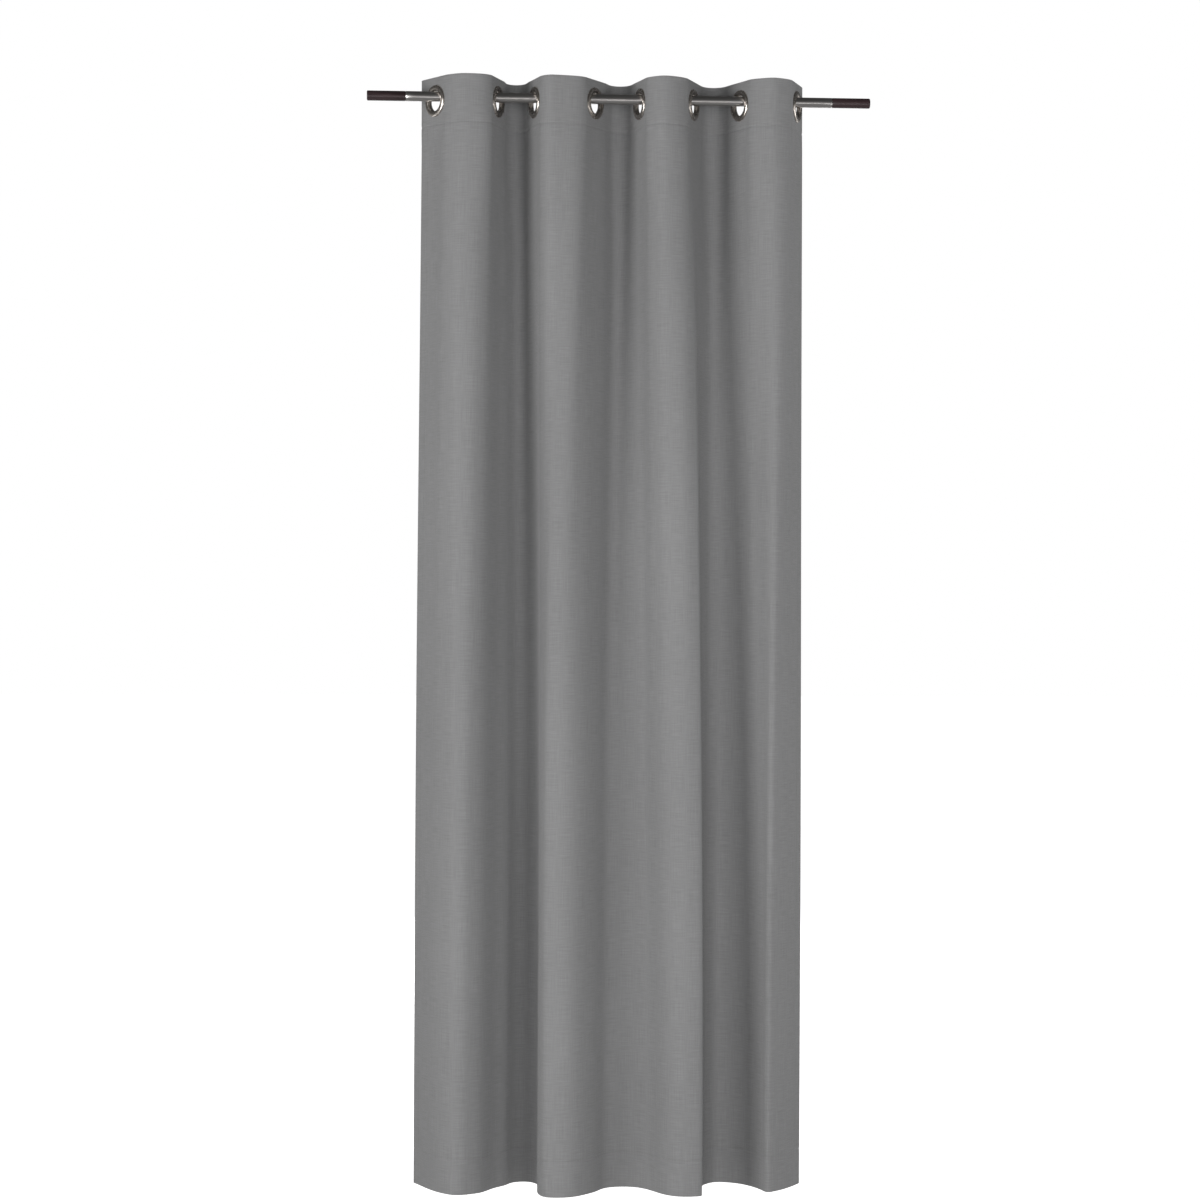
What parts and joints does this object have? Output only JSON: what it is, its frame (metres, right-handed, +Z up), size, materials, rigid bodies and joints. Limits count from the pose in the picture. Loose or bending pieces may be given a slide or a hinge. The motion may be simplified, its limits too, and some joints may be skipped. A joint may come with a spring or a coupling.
{
  "type": "eyelet curtain panel on a rod",
  "caption": "Plain grey eyelet curtain panel hanging in soft waves on a steel rod with dark end caps.",
  "frame": {"origin": "on the rod's axis, at the middle of the rod's length", "axes": "+X along the rod to the right as seen from the room, +Y towards the window behind the curtain, +Z up"},
  "size_m": [1.113, 0.1737, 2.45],
  "materials": {
    "cloth": "matt woven, fine slub",
    "heading": "turned-over cloth on a stiff tape",
    "nickel": "satin nickel plating",
    "steel": "brushed lengthways",
    "caps": "satin dark brown"
  },
  "bodies": {
    "rod": {"rod_tube": "steel"},
    "end_cap_left": {"end_cap_left": "caps"},
    "end_cap_right": {"end_cap_right": "caps"},
    "pleat_1": {"cloth_heading_1": "cloth", "cloth_fall_1_1": "cloth", "cloth_fall_1_2": "cloth", "heading_tape_1": "heading"},
    "eyelet_1": {"eyelet_front_1": "nickel", "eyelet_back_1": "nickel"},
    "pleat_2": {"cloth_heading_2": "cloth", "cloth_fall_2_1": "cloth", "cloth_fall_2_2": "cloth", "heading_tape_2": "heading"},
    "eyelet_2": {"eyelet_front_2": "nickel", "eyelet_back_2": "nickel"},
    "pleat_3": {"cloth_heading_3": "cloth", "cloth_fall_3_1": "cloth", "cloth_fall_3_2": "cloth", "heading_tape_3": "heading"},
    "eyelet_3": {"eyelet_front_3": "nickel", "eyelet_back_3": "nickel"},
    "pleat_4": {"cloth_heading_4": "cloth", "cloth_fall_4_1": "cloth", "cloth_fall_4_2": "cloth", "heading_tape_4": "heading"},
    "eyelet_4": {"eyelet_front_4": "nickel", "eyelet_back_4": "nickel"},
    "pleat_5": {"cloth_heading_5": "cloth", "cloth_fall_5_1": "cloth", "cloth_fall_5_2": "cloth", "heading_tape_5": "heading"},
    "eyelet_5": {"eyelet_front_5": "nickel", "eyelet_back_5": "nickel"},
    "pleat_6": {"cloth_heading_6": "cloth", "cloth_fall_6_1": "cloth", "cloth_fall_6_2": "cloth", "heading_tape_6": "heading"},
    "eyelet_6": {"eyelet_front_6": "nickel", "eyelet_back_6": "nickel"},
    "pleat_7": {"cloth_heading_7": "cloth", "cloth_fall_7_1": "cloth", "cloth_fall_7_2": "cloth", "heading_tape_7": "heading"},
    "eyelet_7": {"eyelet_front_7": "nickel", "eyelet_back_7": "nickel"},
    "pleat_8": {"cloth_heading_8": "cloth", "cloth_fall_8_1": "cloth", "cloth_fall_8_2": "cloth", "heading_tape_8": "heading"},
    "eyelet_8": {"eyelet_front_8": "nickel", "eyelet_back_8": "nickel"}
  },
  "joints": [
    {"name": "left_cap_pull", "type": "slide", "parent": "rod", "child": "end_cap_left", "axis": [-1, 0, 0], "range_m": [0, 0.035]},
    {"name": "right_cap_pull", "type": "slide", "parent": "rod", "child": "end_cap_right", "axis": [1, 0, 0], "range_m": [0, 0.035]},
    {"name": "panel_slide", "type": "slide", "parent": "rod", "child": "pleat_8", "axis": [1, 0, 0], "range_m": [-0.04, 0.05]},
    {"name": "draw", "type": "slide", "parent": "pleat_8", "child": "pleat_1", "axis": [1, 0, 0], "range_m": [0, 0.4634], "deforming": ["cloth_heading_1", "cloth_fall_1_1", "cloth_fall_1_2", "heading_tape_1", "cloth_heading_8", "cloth_fall_8_1", "cloth_fall_8_2", "heading_tape_8"]},
    {"name": "pleat_slide_2", "type": "slide", "parent": "pleat_8", "child": "pleat_2", "axis": [1, 0, 0], "range_m": [0, 0.3844], "deforming": ["cloth_heading_2", "cloth_fall_2_1", "cloth_fall_2_2", "heading_tape_2"]},
    {"name": "pleat_slide_3", "type": "slide", "parent": "pleat_8", "child": "pleat_3", "axis": [1, 0, 0], "range_m": [0, 0.3375], "deforming": ["cloth_heading_3", "cloth_fall_3_1", "cloth_fall_3_2", "heading_tape_3"]},
    {"name": "pleat_slide_4", "type": "slide", "parent": "pleat_8", "child": "pleat_4", "axis": [1, 0, 0], "range_m": [0, 0.2603], "deforming": ["cloth_heading_4", "cloth_fall_4_1", "cloth_fall_4_2", "heading_tape_4"]},
    {"name": "pleat_slide_5", "type": "slide", "parent": "pleat_8", "child": "pleat_5", "axis": [1, 0, 0], "range_m": [0, 0.2023], "deforming": ["cloth_heading_5", "cloth_fall_5_1", "cloth_fall_5_2", "heading_tape_5"]},
    {"name": "pleat_slide_6", "type": "slide", "parent": "pleat_8", "child": "pleat_6", "axis": [1, 0, 0], "range_m": [0, 0.1339], "deforming": ["cloth_heading_6", "cloth_fall_6_1", "cloth_fall_6_2", "heading_tape_6"]},
    {"name": "pleat_slide_7", "type": "slide", "parent": "pleat_8", "child": "pleat_7", "axis": [1, 0, 0], "range_m": [0, 0.0736], "deforming": ["cloth_heading_7", "cloth_fall_7_1", "cloth_fall_7_2", "heading_tape_7"]},
    {"name": "eyelet_swivel_1", "type": "hinge", "parent": "pleat_1", "child": "eyelet_1", "pos_m": [-0.406, 0, -0.0098], "axis": [0, 0, 1], "range_deg": [-18.6, 0]},
    {"name": "eyelet_swivel_2", "type": "hinge", "parent": "pleat_2", "child": "eyelet_2", "pos_m": [-0.269, 0, -0.0098], "axis": [0, 0, 1], "range_deg": [0, 10.9]},
    {"name": "eyelet_swivel_3", "type": "hinge", "parent": "pleat_3", "child": "eyelet_3", "pos_m": [-0.188, 0, -0.0098], "axis": [0, 0, 1], "range_deg": [-10, 0]},
    {"name": "eyelet_swivel_4", "type": "hinge", "parent": "pleat_4", "child": "eyelet_4", "pos_m": [-0.055, 0, -0.0098], "axis": [0, 0, 1], "range_deg": [0, 16.8]},
    {"name": "eyelet_swivel_5", "type": "hinge", "parent": "pleat_5", "child": "eyelet_5", "pos_m": [0.045, 0, -0.0098], "axis": [0, 0, 1], "range_deg": [-8.2, 0]},
    {"name": "eyelet_swivel_6", "type": "hinge", "parent": "pleat_6", "child": "eyelet_6", "pos_m": [0.163, 0, -0.0098], "axis": [0, 0, 1], "range_deg": [0, 11.9]},
    {"name": "eyelet_swivel_7", "type": "hinge", "parent": "pleat_7", "child": "eyelet_7", "pos_m": [0.267, 0, -0.0098], "axis": [0, 0, 1], "range_deg": [-13, 0]},
    {"name": "eyelet_swivel_8", "type": "hinge", "parent": "pleat_8", "child": "eyelet_8", "pos_m": [0.393, 0, -0.0098], "axis": [0, 0, 1], "range_deg": [0, 12]}
  ],
  "couplings": [
    {"joint": "pleat_slide_2", "follows": "draw", "ratio": 0.82854},
    {"joint": "pleat_slide_3", "follows": "draw", "ratio": 0.72716},
    {"joint": "pleat_slide_4", "follows": "draw", "ratio": 0.5607},
    {"joint": "pleat_slide_5", "follows": "draw", "ratio": 0.43554},
    {"joint": "pleat_slide_6", "follows": "draw", "ratio": 0.28786},
    {"joint": "pleat_slide_7", "follows": "draw", "ratio": 0.1577},
    {"joint": "eyelet_swivel_1", "follows": "draw", "rad_per_m": -0.69749},
    {"joint": "eyelet_swivel_2", "follows": "draw", "rad_per_m": 0.40645},
    {"joint": "eyelet_swivel_3", "follows": "draw", "rad_per_m": -0.3721},
    {"joint": "eyelet_swivel_4", "follows": "draw", "rad_per_m": 0.62732},
    {"joint": "eyelet_swivel_5", "follows": "draw", "rad_per_m": -0.30528},
    {"joint": "eyelet_swivel_6", "follows": "draw", "rad_per_m": 0.44564},
    {"joint": "eyelet_swivel_7", "follows": "draw", "rad_per_m": -0.48604},
    {"joint": "eyelet_swivel_8", "follows": "draw", "rad_per_m": 0.44749}
  ]
}
